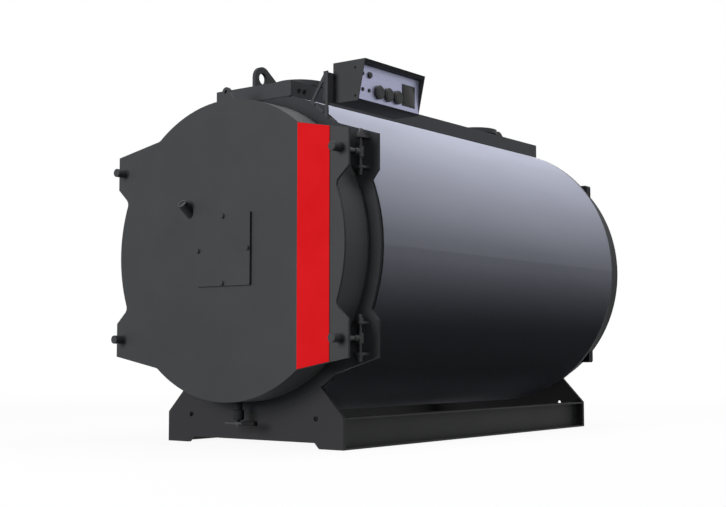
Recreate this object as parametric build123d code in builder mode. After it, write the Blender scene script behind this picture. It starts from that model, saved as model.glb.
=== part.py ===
# Fire-tube hot water boiler on a steel base: a jacketed horizontal shell, a hinged front door,
# a rear smoke box, a top platform with flanged water connections and a side control panel.
# Millimetres. X is to the right, the door faces -Y, Z is up and the floor is Z = 0.
import os
from math import cos, radians, sin, sqrt, tan

from build123d import *

os.makedirs("parts", exist_ok=True)

# Clearances
weld_gap = 0.3
pin_clearance = 0.3

# Boiler body
floor_clearance = 138
jacket_radius = 695
jacket_sheet = 3
jacket_length = 2056
insulation = 60
shell_wall = 10
plate_thickness = 16
front_plate_inset = 5
furnace_radius = 320
furnace_wall = 10
furnace_end_gap = 242
smoke_tube_radius = 38
smoke_tube_wall = 4
smoke_tube_count = 24

# Smoke box at the rear
smoke_box_step = 40
smoke_box_wall = 6
smoke_box_depth = 126
smoke_cover_thickness = 12
flue_radius = 150
flue_wall = 4
flue_length = 120
flue_rise = 120
clamp_angle = 44.124
clamp_sink = 7.2
clamp_size = 70
clamp_corner = 12
clamp_length = 44

# Base frame
base_tail = 25
base_half_width = 500
base_height = 131
base_shoulder_half = 338
base_shoulder_height = 300
base_relief_half = 350
base_relief = 24
base_hole_x = 357
base_hole_z = 124
base_hole_radius = 12
channel_depth = 50
channel_height = 130
channel_wall = 7

# Door
door_step = 49
door_depth = 152
door_plate_thickness = 12
door_rim_wall = 12
door_lining_depth = 100
seal_gap = 22
seal_height = 14
seal_inset = 1
burner_throat_radius = 120
burner_plate_size = 306
burner_plate_thickness = 12
burner_plate_corner = 6
strip_width = 166
strip_thickness = 3
strip_inset = 2
eye_half_width = 44
eye_radius = 22
eye_hole_radius = 9
eye_rise = 33

# Ears of the door and of the front plate. Angles are from the horizontal, at the boiler axis.
bolt_inset = 22
bolt_angle = 31.2
ear_margin = 19
ear_root_angle = 51.5
ear_top_angle = 34.35
ear_bottom_angle = 24.7
ear_heel_angle = 22.1
ear_root_fillet = 30
ear_heel_fillet = 30
plate_ear_margin = 15
plate_root_angle = 49
plate_heel_fillet = 12
plate_shoulder_overlap = 5
plate_shoulder_gap = 16.97

# Door bolts, pins and lugs
knob_reach = 56
knob_radius = 18.5
knob_bore_depth = 26
washer_radius = 22
washer_thickness = 4
rod_radius = 9
rod_hole_radius = 11
pin_setback = 131
pin_radius = 8
pin_half_length = 94
pin_nut_radius = 14
pin_nut_height = 12
sleeve_radius = 15
sleeve_half_height = 21
boss_radius = 12
boss_length = 40
lug_spread = 62
lug_thickness = 10
lug_radius = 21

# Sight tube on the door
sight_x = -208
sight_rise = 171
sight_radius = 21.2
sight_wall = 3.2
sight_length = 59.6
sight_tilt = 37
sight_ring_radius = 22
sight_ring_length = 14
sight_glass_thickness = 4

# Drain valve under the door
drain_setback = 94
drain_pipe_radius = 17
drain_pipe_length = 32
drain_body_radius = 24
drain_body_length = 44
drain_stem_radius = 8
drain_stem_length = 9
lever_left = 74
lever_right = 98
lever_width = 24
lever_thickness = 9
lever_hub_radius = 16

# Platform on top
platform_half_width = 217
platform_height = 67
platform_overhang = 4
platform_tail = 40
platform_sheet = 4

# Water connections
pipe_radius = 69.85
pipe_wall = 5
flange_radius = 125
flange_thickness = 24
flange_rise = 62
flange_bolt_ring = 105
flange_bolt_count = 8
flange_hole_radius = 9
flow_setback = 325
return_setback = 268

# Lifting lugs
lift_thickness = 16
lift_radius = 52
lift_hole_radius = 25
lift_rise = 42
lift_length = 202
lift_edge_inset = 6
slot_clearance = 1

# Control panel
panel_setback = 52
panel_length = 441
panel_inner_x = 404
panel_standoff = 38.3
panel_depth = 132
panel_lean = 37
panel_height = 172
panel_sheet = 3
panel_hood = 16
panel_recess = 31
panel_lip = 5
face_thickness = 1.5
face_margin = 1
bracket_sheet = 6
bracket_overlap = 16
bracket_width = 94
bracket_grip = 9
bracket_drop = 43
bracket_post = 14
bracket_leg = 199
display_size = 96
display_thickness = 3
dial_radius = 30
dial_height = 14
dial_chamfer = 2
dial_gap = 0.5
dial_pitch = 67
lamp_radius = 6
lamp_height = 5
button_radius = 12
button_height = 9

# Radii that follow from the jacket, and the boiler axis over the floor
front_plate_radius = jacket_radius - front_plate_inset
shell_radius = jacket_radius - insulation
smoke_box_radius = jacket_radius - smoke_box_step
door_radius = front_plate_radius - door_step
smoke_tube_ring = (furnace_radius + shell_radius - shell_wall) / 2
axis_height = front_plate_radius + floor_clearance

# Ears, bolts and the red strip, measured from the boiler axis
bolt_x = door_radius - bolt_inset
bolt_rise = bolt_x * tan(radians(bolt_angle))
ear_reach = door_radius + ear_margin
ear_root_x = door_radius * cos(radians(ear_root_angle))
ear_root_rise = door_radius * sin(radians(ear_root_angle))
ear_top_rise = ear_reach * tan(radians(ear_top_angle))
ear_bottom_rise = ear_reach * tan(radians(ear_bottom_angle))
strip_left = ear_root_x + strip_inset
strip_right = strip_left + strip_width

# Places along the boiler, from the sight tube or the knobs at the front to the flue at the back
body_length = 2 * plate_thickness + jacket_length + smoke_box_depth + smoke_cover_thickness
sight_reach = sight_length * cos(radians(sight_tilt)) + sight_ring_radius * sin(radians(sight_tilt))
front_reach = max(knob_reach, sight_reach)
overall_length = front_reach + door_depth + seal_gap + body_length + flue_length
door_face_y = front_reach - overall_length / 2
door_back_y = door_face_y + door_depth
front_y = door_back_y + seal_gap
shell_front_y = front_y + plate_thickness
shell_rear_y = shell_front_y + jacket_length
smoke_front_y = shell_rear_y + plate_thickness
smoke_rear_y = smoke_front_y + smoke_box_depth
cover_rear_y = smoke_rear_y + smoke_cover_thickness
base_rear_y = smoke_front_y + base_tail
pin_y = door_face_y + pin_setback
drain_y = door_face_y + drain_setback
flow_y = front_y + flow_setback
return_y = smoke_front_y - return_setback
platform_front_y = front_y - platform_overhang
platform_rear_y = smoke_front_y + platform_tail
platform_length = platform_rear_y - platform_front_y
panel_front_y = front_y + panel_setback
panel_rear_y = panel_front_y + panel_length

# Heights
platform_inner_half = platform_half_width - platform_sheet
platform_bottom_z = axis_height + sqrt(jacket_radius**2 - platform_inner_half**2) + weld_gap
platform_top_z = platform_bottom_z + platform_height
flange_top_z = platform_top_z + flange_rise
jacket_top_z = axis_height + jacket_radius
shell_top_z = axis_height + shell_radius
lift_hole_z = platform_top_z + lift_rise
panel_outer_x = panel_inner_x + panel_depth
panel_top_x = panel_outer_x + panel_lean
panel_bottom_z = axis_height + sqrt((jacket_radius + panel_standoff) ** 2 - panel_inner_x**2)
panel_top_z = panel_bottom_z + panel_height
panel_face_top_z = panel_top_z - panel_hood
panel_face_bottom_z = panel_bottom_z + panel_lip
panel_slope = (panel_top_x - panel_outer_x) / panel_height


# A plane across the boiler at y, seen from the front: local x is X, local y is the height over the axis.
def across(y):
    return Plane((0, y, axis_height), x_dir=(1, 0, 0), z_dir=(0, -1, 0))


# The same plane with its local y counted from the floor.
def upright(y):
    return Plane((0, y, 0), x_dir=(1, 0, 0), z_dir=(0, -1, 0))


# Disc with four ears, drawn in the current sketch. The ears leave the disc at the root and the heel.
def eared_disc(radius, root_angle, reach):
    corners = [
        (radius * cos(radians(root_angle)), radius * sin(radians(root_angle))),
        (reach, ear_top_rise),
        (reach, ear_bottom_rise),
        (radius * cos(radians(ear_heel_angle)), radius * sin(radians(ear_heel_angle))),
        (ear_root_x, ear_bottom_rise),
    ]
    Polygon(*corners, align=None)
    mirror(about=Plane.YZ)
    mirror(about=Plane.XZ)
    Circle(radius)


# Base plates: feet at both ends, sloped shoulders and a round seat for what they carry.
base_half_outline = [
    (0, base_relief),
    (base_relief_half, base_relief),
    (base_relief_half + base_relief, 0),
    (base_half_width, 0),
    (base_half_width, base_height),
    (base_shoulder_half, base_shoulder_height),
    (0, base_shoulder_height),
]


def base_plate_sketch(seat_radius):
    Polygon(*base_half_outline, align=None)
    mirror(about=Plane.YZ)
    with Locations((0, axis_height)):
        Circle(seat_radius + weld_gap, mode=Mode.SUBTRACT)
    with Locations((-base_hole_x, base_hole_z), (base_hole_x, base_hole_z)):
        Circle(base_hole_radius, mode=Mode.SUBTRACT)


with BuildPart() as base_front_plate:
    with BuildSketch(upright(shell_front_y)):
        base_plate_sketch(front_plate_radius)
    extrude(amount=plate_thickness)
base_front_plate.part.label = "base_front_plate"
export_step(base_front_plate.part, "parts/base_front_plate.step")

with BuildPart() as base_rear_plate:
    with BuildSketch(upright(base_rear_y)):
        base_plate_sketch(smoke_box_radius)
    extrude(amount=plate_thickness)
base_rear_plate.part.label = "base_rear_plate"
export_step(base_rear_plate.part, "parts/base_rear_plate.step")

# Side channels, open to the outside, between the two base plates
channel_rear_y = base_rear_y - plate_thickness
channel_length = channel_rear_y - shell_front_y
for side, side_name in ((-1, "left"), (1, "right")):
    with BuildPart() as base_channel:
        with BuildSketch(upright(channel_rear_y)):
            with Locations((side * (base_half_width - channel_depth / 2), channel_height / 2)):
                Rectangle(channel_depth, channel_height)
            with Locations((side * (base_half_width - channel_depth / 2 + channel_wall), channel_height / 2)):
                Rectangle(channel_depth, channel_height - 2 * channel_wall, mode=Mode.SUBTRACT)
        extrude(amount=channel_length)
    base_channel.part.label = f"base_channel_{side_name}"
    export_step(base_channel.part, f"parts/base_channel_{side_name}.step")

# Front plate with the furnace mouth and the smoke tube holes. Its shoulders rise to the platform's edges.
plate_root_rise = front_plate_radius * sin(radians(plate_root_angle))
plate_shoulder_x = panel_inner_x + plate_shoulder_overlap
plate_shoulder_rise = panel_bottom_z - axis_height - plate_shoulder_gap
plate_shoulder = [
    (platform_half_width, platform_bottom_z - axis_height - weld_gap),
    (plate_shoulder_x, plate_shoulder_rise),
    (plate_shoulder_x, plate_root_rise),
    (platform_half_width, plate_root_rise),
]
with BuildPart() as front_plate:
    with BuildSketch(across(shell_front_y)) as plate_outline:
        eared_disc(front_plate_radius, plate_root_angle, ear_reach + plate_ear_margin)
        plate_heels = plate_outline.vertices().filter_by(lambda v: 1 < abs(v.Y) < ear_bottom_rise - 1)
        fillet(plate_heels, plate_heel_fillet)
        Polygon(*plate_shoulder, align=None)
        mirror(about=Plane.YZ)
        Circle(furnace_radius - furnace_wall, mode=Mode.SUBTRACT)
        with PolarLocations(smoke_tube_ring, smoke_tube_count):
            Circle(smoke_tube_radius + weld_gap, mode=Mode.SUBTRACT)
    extrude(amount=plate_thickness)
front_plate.part.label = "front_plate"
export_step(front_plate.part, "parts/front_plate.step")

with BuildPart() as rear_plate:
    with BuildSketch(across(smoke_front_y)):
        Circle(jacket_radius)
        with PolarLocations(smoke_tube_ring, smoke_tube_count):
            Circle(smoke_tube_radius + weld_gap, mode=Mode.SUBTRACT)
    extrude(amount=plate_thickness)
rear_plate.part.label = "rear_plate"
export_step(rear_plate.part, "parts/rear_plate.step")

with BuildPart() as pressure_shell:
    with BuildSketch(across(shell_rear_y)):
        Circle(shell_radius)
        Circle(shell_radius - shell_wall, mode=Mode.SUBTRACT)
    extrude(amount=jacket_length)
    with Locations((0, flow_y, shell_top_z), (0, return_y, shell_top_z)):
        Cylinder(pipe_radius - pipe_wall, shell_radius / 2, mode=Mode.SUBTRACT)
pressure_shell.part.label = "pressure_shell"
export_step(pressure_shell.part, "parts/pressure_shell.step")

# Lifting lugs stand on the shell and on the end plates, and pass through the jacket and the platform
front_lift_y = platform_front_y + lift_edge_inset
rear_lift_y = platform_rear_y - lift_edge_inset
front_lift_middle_y = front_lift_y + lift_length / 2
rear_lift_middle_y = rear_lift_y - lift_length / 2
slot_width = lift_thickness + 2 * slot_clearance
slot_length = lift_length + 2 * slot_clearance

with BuildPart() as jacket:
    with BuildSketch(across(shell_rear_y)):
        Circle(jacket_radius)
        Circle(jacket_radius - jacket_sheet, mode=Mode.SUBTRACT)
    extrude(amount=jacket_length)
    with Locations((0, flow_y, jacket_top_z), (0, return_y, jacket_top_z)):
        Cylinder(pipe_radius + weld_gap, shell_radius / 2, mode=Mode.SUBTRACT)
    with Locations((0, front_lift_middle_y, jacket_top_z), (0, rear_lift_middle_y, jacket_top_z)):
        Box(slot_width, slot_length, platform_height, mode=Mode.SUBTRACT)
jacket.part.label = "jacket"
export_step(jacket.part, "parts/jacket.step")

# Furnace tube with its closed rear end
furnace_length = jacket_length - furnace_end_gap
furnace_rear_y = shell_front_y + furnace_length
with BuildPart() as furnace:
    with BuildSketch(across(furnace_rear_y)):
        Circle(furnace_radius)
    extrude(amount=furnace_length)
    with BuildSketch(across(furnace_rear_y - furnace_wall)):
        Circle(furnace_radius - furnace_wall)
    extrude(amount=furnace_length, mode=Mode.SUBTRACT)
furnace.part.label = "furnace"
export_step(furnace.part, "parts/furnace.step")

with BuildPart() as smoke_tubes:
    with BuildSketch(across(smoke_front_y)):
        with PolarLocations(smoke_tube_ring, smoke_tube_count):
            Circle(smoke_tube_radius)
            Circle(smoke_tube_radius - smoke_tube_wall, mode=Mode.SUBTRACT)
    extrude(amount=smoke_front_y - front_y)
smoke_tubes.part.label = "smoke_tubes"
export_step(smoke_tubes.part, "parts/smoke_tubes.step")

# Smoke box, its cover, the flue spigot and the cover clamps
with BuildPart() as smoke_box:
    with BuildSketch(across(smoke_rear_y)):
        Circle(smoke_box_radius)
        Circle(smoke_box_radius - smoke_box_wall, mode=Mode.SUBTRACT)
    extrude(amount=smoke_box_depth)
smoke_box.part.label = "smoke_box"
export_step(smoke_box.part, "parts/smoke_box.step")

with BuildPart() as smoke_cover:
    with BuildSketch(across(cover_rear_y)):
        Circle(smoke_box_radius)
        with Locations((0, flue_rise)):
            Circle(flue_radius + weld_gap, mode=Mode.SUBTRACT)
    extrude(amount=smoke_cover_thickness)
smoke_cover.part.label = "smoke_cover"
export_step(smoke_cover.part, "parts/smoke_cover.step")

with BuildPart() as flue_spigot:
    with BuildSketch(across(cover_rear_y + flue_length)):
        with Locations((0, flue_rise)):
            Circle(flue_radius)
            Circle(flue_radius - flue_wall, mode=Mode.SUBTRACT)
    extrude(amount=flue_length + smoke_cover_thickness)
flue_spigot.part.label = "flue_spigot"
export_step(flue_spigot.part, "parts/flue_spigot.step")

# Each clamp is a square block with an upright outer side, cut to the round of the box
clamp_ring = smoke_box_radius - clamp_sink
clamp_middle_x = clamp_ring * cos(radians(clamp_angle))
clamp_middle_rise = clamp_ring * sin(radians(clamp_angle))
clamp_rises = (-clamp_middle_rise, clamp_middle_rise)
clamp_places = [(x, z) for x in (-clamp_middle_x, clamp_middle_x) for z in clamp_rises]
with BuildPart() as smoke_box_clamps:
    with BuildSketch(across(cover_rear_y)):
        with Locations(*clamp_places):
            RectangleRounded(clamp_size, clamp_size, clamp_corner)
        Circle(smoke_box_radius + weld_gap, mode=Mode.SUBTRACT)
    extrude(amount=clamp_length)
smoke_box_clamps.part.label = "smoke_box_clamps"
export_step(smoke_box_clamps.part, "parts/smoke_box_clamps.step")

# Platform: an inverted tray whose side skirts stand on the jacket
with BuildPart() as platform:
    with BuildSketch(Plane.XY.offset(platform_bottom_z)):
        with Locations((0, (platform_front_y + platform_rear_y) / 2)):
            Rectangle(2 * platform_half_width, platform_length)
    extrude(amount=platform_height)
    with BuildSketch(Plane.XY.offset(platform_bottom_z)):
        with Locations((0, (platform_front_y + platform_rear_y) / 2)):
            Rectangle(2 * platform_inner_half, platform_length - 2 * platform_sheet)
    extrude(amount=platform_height - platform_sheet, mode=Mode.SUBTRACT)
    with Locations((0, flow_y, platform_top_z), (0, return_y, platform_top_z)):
        Cylinder(pipe_radius + slot_clearance, platform_height, mode=Mode.SUBTRACT)
    with Locations((0, front_lift_middle_y, platform_top_z), (0, rear_lift_middle_y, platform_top_z)):
        Box(slot_width, slot_length, platform_height, mode=Mode.SUBTRACT)
platform.part.label = "platform"
export_step(platform.part, "parts/platform.step")

# Flanged water connections, welded to the shell
for stub_name, stub_y in (("flow", flow_y), ("return", return_y)):
    with BuildPart() as water_pipe:
        with BuildSketch(Plane.XY.offset(axis_height)):
            with Locations((0, stub_y)):
                Circle(pipe_radius)
                Circle(pipe_radius - pipe_wall, mode=Mode.SUBTRACT)
        extrude(amount=flange_top_z - axis_height)
        with BuildSketch(across(shell_rear_y)):
            Circle(shell_radius + weld_gap)
        extrude(amount=jacket_length, mode=Mode.SUBTRACT)
    water_pipe.part.label = f"{stub_name}_pipe"
    export_step(water_pipe.part, f"parts/{stub_name}_pipe.step")

    with BuildPart() as water_flange:
        with BuildSketch(Plane.XY.offset(flange_top_z - flange_thickness)):
            with Locations((0, stub_y)):
                Circle(flange_radius)
                Circle(pipe_radius + weld_gap, mode=Mode.SUBTRACT)
                with PolarLocations(flange_bolt_ring, flange_bolt_count, start_angle=180 / flange_bolt_count):
                    Circle(flange_hole_radius, mode=Mode.SUBTRACT)
        extrude(amount=flange_thickness)
    water_flange.part.label = f"{stub_name}_flange"
    export_step(water_flange.part, f"parts/{stub_name}_flange.step")

# Lifting lugs: a round head over an upright outer edge, and a long slope towards the middle
lift_ends = (
    ("front", 1, front_lift_y, shell_front_y, axis_height + front_plate_radius),
    ("rear", -1, rear_lift_y, shell_rear_y, jacket_top_z),
)
for end_name, inward, edge_y, step_y, step_z in lift_ends:
    head_y = edge_y + inward * lift_radius
    foot_y = edge_y + inward * lift_length
    notch_y = step_y + inward * weld_gap
    with BuildPart() as lifting_lug:
        with BuildSketch(Plane.YZ.offset(-lift_thickness / 2)):
            with BuildLine():
                Polyline(
                    (edge_y, step_z + weld_gap),
                    (edge_y, lift_hole_z),
                    (head_y, lift_hole_z),
                    (head_y + inward * lift_radius / 2, lift_hole_z + lift_radius * sqrt(3) / 2),
                    (foot_y, platform_top_z),
                    (foot_y, shell_top_z + weld_gap),
                    (notch_y, shell_top_z + weld_gap),
                    (notch_y, step_z + weld_gap),
                    close=True,
                )
            make_face()
            with Locations((head_y, lift_hole_z)):
                Circle(lift_radius)
                Circle(lift_hole_radius, mode=Mode.SUBTRACT)
        extrude(amount=lift_thickness)
    lifting_lug.part.label = f"lifting_lug_{end_name}"
    export_step(lifting_lug.part, f"parts/lifting_lug_{end_name}.step")

# Panel bracket: a braced post on the front plate and a leg along the back of the panel
bracket_x = panel_inner_x - bracket_sheet
bracket_right_x = panel_inner_x + bracket_overlap
bracket_foot_x = bracket_right_x - bracket_width
bracket_foot_z = axis_height + sqrt(front_plate_radius**2 - bracket_foot_x**2) + bracket_grip
bracket_low_z = axis_height + sqrt(front_plate_radius**2 - bracket_right_x**2) - bracket_grip
bracket_top_z = panel_top_z - bracket_drop
with BuildPart() as panel_bracket:
    with BuildSketch(upright(front_y)):
        with BuildLine():
            Polyline(
                (bracket_right_x, bracket_low_z),
                (bracket_right_x, bracket_top_z),
                (bracket_right_x - bracket_post, bracket_top_z),
                (bracket_foot_x, bracket_foot_z),
                close=True,
            )
        make_face()
        offset(amount=-bracket_post, mode=Mode.SUBTRACT)
    extrude(amount=bracket_sheet)
    with BuildSketch(Plane.YZ.offset(bracket_x)):
        with BuildLine():
            Polyline(
                (front_y - bracket_sheet, panel_bottom_z),
                (front_y - bracket_sheet, bracket_top_z),
                (front_y + bracket_leg, bracket_top_z),
                (front_y + bracket_leg, panel_bottom_z),
                close=True,
            )
        make_face()
    extrude(amount=bracket_sheet)
panel_bracket.part.label = "panel_bracket"
export_step(panel_bracket.part, "parts/panel_bracket.step")

# Panel box: a hood that leans outwards over a recessed face
panel_middle_y = (panel_front_y + panel_rear_y) / 2
face_bottom_x = panel_outer_x + panel_slope * panel_lip
face_top_x = panel_top_x - panel_slope * panel_hood - panel_recess
with BuildPart() as panel_box:
    with BuildSketch(upright(panel_rear_y)):
        with BuildLine():
            Polyline(
                (panel_inner_x, panel_bottom_z),
                (panel_outer_x, panel_bottom_z),
                (panel_top_x, panel_top_z),
                (panel_inner_x, panel_top_z),
                close=True,
            )
        make_face()
    extrude(amount=panel_length)
    with BuildSketch(upright(panel_rear_y - panel_sheet)):
        with BuildLine():
            Polyline(
                (face_bottom_x, panel_face_bottom_z),
                (panel_top_x + panel_recess, panel_face_bottom_z),
                (panel_top_x + panel_recess, panel_face_top_z),
                (face_top_x, panel_face_top_z),
                close=True,
            )
        make_face()
    extrude(amount=panel_length - 2 * panel_sheet, mode=Mode.SUBTRACT)
panel_box.part.label = "panel_box"
export_step(panel_box.part, "parts/panel_box.step")

# Panel face and what stands on it. Local x runs to the back, local y up the face.
face_rise = panel_face_top_z - panel_face_bottom_z
face_run = face_top_x - face_bottom_x
face_length = sqrt(face_rise**2 + face_run**2)
face_x = (face_bottom_x + face_top_x) / 2
face_z = (panel_face_bottom_z + panel_face_top_z) / 2
face_plane = Plane((face_x, panel_middle_y, face_z), x_dir=(0, 1, 0), z_dir=(face_rise, 0, -face_run))
front_plane = face_plane.offset(face_thickness)

with BuildPart() as panel_face:
    with BuildSketch(face_plane):
        Rectangle(panel_length - 2 * (panel_sheet + face_margin), face_length - 4 * face_margin)
    extrude(amount=face_thickness)
panel_face.part.label = "panel_face"
export_step(panel_face.part, "parts/panel_face.step")

display_place = (138, -7)
with BuildPart() as panel_display:
    with BuildSketch(front_plane):
        with Locations(display_place):
            Rectangle(display_size, display_size)
    extrude(amount=display_thickness)
    chamfer(panel_display.faces().sort_by(Axis.X)[-1].edges(), length=dial_chamfer)
panel_display.part.label = "panel_display"
export_step(panel_display.part, "parts/panel_display.step")

lamp_places = ((-193, 36), (-193, -31), (-149, -30))
button_place = (-148, 35)
with BuildPart() as panel_buttons:
    with BuildSketch(front_plane):
        with Locations(*lamp_places):
            Circle(lamp_radius)
    extrude(amount=lamp_height)
    with BuildSketch(front_plane):
        with Locations(button_place):
            Circle(button_radius)
    extrude(amount=button_height)
panel_buttons.part.label = "panel_buttons"
export_step(panel_buttons.part, "parts/panel_buttons.step")

dial_first_x = -85
dial_y = -28
for dial in range(3):
    with BuildPart() as panel_dial:
        with BuildSketch(front_plane.offset(dial_gap)):
            with Locations((dial_first_x + dial * dial_pitch, dial_y)):
                Circle(dial_radius)
        extrude(amount=dial_height)
        chamfer(panel_dial.faces().sort_by(Axis.X)[-1].edges(), length=dial_chamfer)
    panel_dial.part.label = f"panel_dial_{dial + 1}"
    export_step(panel_dial.part, f"parts/panel_dial_{dial + 1}.step")

# Door plate with its ears, bolt holes, burner throat and lifting eye
door_plate_back_y = door_face_y + door_plate_thickness
bolt_places = [(x, z) for x in (-bolt_x, bolt_x) for z in (-bolt_rise, bolt_rise)]
with BuildPart() as door_plate:
    with BuildSketch(across(door_plate_back_y)) as door_outline:
        eared_disc(door_radius, ear_root_angle, ear_reach)
        high_corners = door_outline.vertices().filter_by(lambda v: abs(v.Y) > ear_top_rise)
        fillet(high_corners.filter_by(lambda v: abs(v.X) < strip_right), ear_root_fillet)
        door_heels = door_outline.vertices().filter_by(lambda v: 1 < abs(v.Y) < ear_bottom_rise - 1)
        fillet(door_heels, ear_heel_fillet)
        with BuildLine():
            Polyline(
                (-eye_half_width, door_radius - eye_radius / 2),
                (-eye_radius, door_radius + eye_rise),
                (eye_radius, door_radius + eye_rise),
                (eye_half_width, door_radius - eye_radius / 2),
                close=True,
            )
        make_face()
        with Locations((0, door_radius + eye_rise)):
            Circle(eye_radius)
            Circle(eye_hole_radius, mode=Mode.SUBTRACT)
        with Locations(*bolt_places):
            Circle(rod_hole_radius, mode=Mode.SUBTRACT)
        Circle(burner_throat_radius, mode=Mode.SUBTRACT)
    extrude(amount=door_plate_thickness)
door_plate.part.label = "door_plate"
export_step(door_plate.part, "parts/door_plate.step")

with BuildPart() as door_rim:
    with BuildSketch(across(door_back_y)):
        Circle(door_radius)
        Circle(door_radius - door_rim_wall, mode=Mode.SUBTRACT)
    extrude(amount=door_depth - door_plate_thickness)
door_rim.part.label = "door_rim"
export_step(door_rim.part, "parts/door_rim.step")

with BuildPart() as door_lining:
    with BuildSketch(across(door_plate_back_y + door_lining_depth)):
        Circle(door_radius - door_rim_wall - weld_gap)
        Circle(burner_throat_radius, mode=Mode.SUBTRACT)
    extrude(amount=door_lining_depth)
door_lining.part.label = "door_lining"
export_step(door_lining.part, "parts/door_lining.step")

with BuildPart() as door_seal:
    with BuildSketch(across(door_back_y + seal_height)):
        Circle(door_radius - seal_inset)
        Circle(door_radius - door_rim_wall + seal_inset, mode=Mode.SUBTRACT)
    extrude(amount=seal_height)
door_seal.part.label = "door_seal"
export_step(door_seal.part, "parts/door_seal.step")

# Red strip down the hinge side of the door, ending along the slopes of the ears
ear_slope = (ear_root_rise - ear_top_rise) / (ear_reach - ear_root_x)
strip_tall = ear_root_rise - ear_slope * (strip_left - ear_root_x) - strip_inset
strip_short = ear_root_rise - ear_slope * (strip_right - ear_root_x) - strip_inset
with BuildPart() as red_strip:
    with BuildSketch(across(door_face_y)):
        with BuildLine():
            Polyline(
                (strip_left, -strip_tall),
                (strip_right, -strip_short),
                (strip_right, strip_short),
                (strip_left, strip_tall),
                close=True,
            )
        make_face()
    extrude(amount=strip_thickness)
red_strip.part.label = "red_strip"
export_step(red_strip.part, "parts/red_strip.step")

with BuildPart() as burner_plate:
    with BuildSketch(across(door_face_y)):
        RectangleRounded(burner_plate_size, burner_plate_size, burner_plate_corner)
    extrude(amount=burner_plate_thickness)
burner_plate.part.label = "burner_plate"
export_step(burner_plate.part, "parts/burner_plate.step")

# Sight tube, tilted up, with a ring that holds its glass
sight_plane = Plane(
    (sight_x, door_face_y, axis_height + sight_rise),
    x_dir=(1, 0, 0),
    z_dir=(0, -cos(radians(sight_tilt)), sin(radians(sight_tilt))),
)
with BuildPart() as sight_tube:
    with BuildSketch(sight_plane.offset(-sight_length / 2)):
        Circle(sight_radius)
        Circle(sight_radius - sight_wall, mode=Mode.SUBTRACT)
    extrude(amount=sight_length * 3 / 2)
    with BuildSketch(sight_plane.offset(sight_length - sight_ring_length)):
        Circle(sight_ring_radius)
        Circle(sight_radius - sight_wall, mode=Mode.SUBTRACT)
    extrude(amount=sight_ring_length)
    split(bisect_by=across(door_face_y), keep=Keep.TOP)
sight_tube.part.label = "sight_tube"
export_step(sight_tube.part, "parts/sight_tube.step")

with BuildPart() as sight_glass:
    with BuildSketch(sight_plane.offset(sight_length - sight_ring_length / 2)):
        Circle(sight_radius - sight_wall - weld_gap)
    extrude(amount=sight_glass_thickness)
sight_glass.part.label = "sight_glass"
export_step(sight_glass.part, "parts/sight_glass.step")

# Door knobs: a round nut and its washer on each ear, bored for the rod
with BuildPart() as door_knobs:
    for x, z in bolt_places:
        place = Plane((x, door_face_y, axis_height + z), x_dir=(1, 0, 0), z_dir=(0, -1, 0))
        with BuildSketch(place):
            Circle(washer_radius)
        extrude(amount=washer_thickness)
        with BuildSketch(place.offset(washer_thickness)):
            Circle(knob_radius)
        extrude(amount=knob_reach - washer_thickness)
        with BuildSketch(place):
            Circle(rod_radius + pin_clearance)
        extrude(amount=knob_bore_depth, mode=Mode.SUBTRACT)
    knob_fronts = door_knobs.faces().filter_by(Axis.Y).group_by(Axis.Y)[0]
    chamfer(knob_fronts.edges(), length=dial_chamfer)
door_knobs.part.label = "door_knobs"
export_step(door_knobs.part, "parts/door_knobs.step")

# Rods through the ears: on the right each ends in an eye round its pin, on the left in a swivel nut
rod_front_y = door_face_y - knob_bore_depth + pin_clearance
boss_front_y = pin_y - boss_length
hinge_heights = (axis_height - bolt_rise, axis_height + bolt_rise)


# A rod of the given radius along Y at one bolt, added to the part that is being made.
def rod_along_y(x, z, radius, start_y, end_y):
    with Locations(Location((x, (start_y + end_y) / 2, z), (90, 0, 0))):
        Cylinder(radius, end_y - start_y)


# An upright eye with its boss towards the door, bored for the pin.
def eye_at(x, z):
    with Locations((x, pin_y, z)):
        Cylinder(sleeve_radius, 2 * sleeve_half_height)
    rod_along_y(x, z, boss_radius, boss_front_y, pin_y)
    with Locations((x, pin_y, z)):
        Cylinder(pin_radius + pin_clearance, 2 * sleeve_half_height, mode=Mode.SUBTRACT)


with BuildPart() as hinge_eye_bolts:
    for z in hinge_heights:
        rod_along_y(bolt_x, z, rod_radius, rod_front_y, boss_front_y)
        eye_at(bolt_x, z)
hinge_eye_bolts.part.label = "hinge_eye_bolts"
export_step(hinge_eye_bolts.part, "parts/hinge_eye_bolts.step")

with BuildPart() as latch_rods:
    for z in hinge_heights:
        rod_along_y(-bolt_x, z, rod_radius, rod_front_y, boss_front_y - weld_gap)
latch_rods.part.label = "latch_rods"
export_step(latch_rods.part, "parts/latch_rods.step")

with BuildPart() as latch_swivels:
    for z in hinge_heights:
        eye_at(-bolt_x, z)
latch_swivels.part.label = "latch_swivels"
export_step(latch_swivels.part, "parts/latch_swivels.step")

# Upright pins with a nut at the top, each in two lugs on the front plate
pin_places = [(x, pin_y) for x in (-bolt_x, bolt_x)]
with BuildPart() as hinge_pins:
    for z in hinge_heights:
        with BuildSketch(Plane.XY.offset(z - pin_half_length)):
            with Locations(*pin_places):
                Circle(pin_radius)
        extrude(amount=2 * pin_half_length)
        with BuildSketch(Plane.XY.offset(z + lug_spread + lug_thickness / 2 + pin_clearance)):
            with Locations(*pin_places):
                RegularPolygon(pin_nut_radius, 6)
        extrude(amount=pin_nut_height)
hinge_pins.part.label = "hinge_pins"
export_step(hinge_pins.part, "parts/hinge_pins.step")

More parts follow.
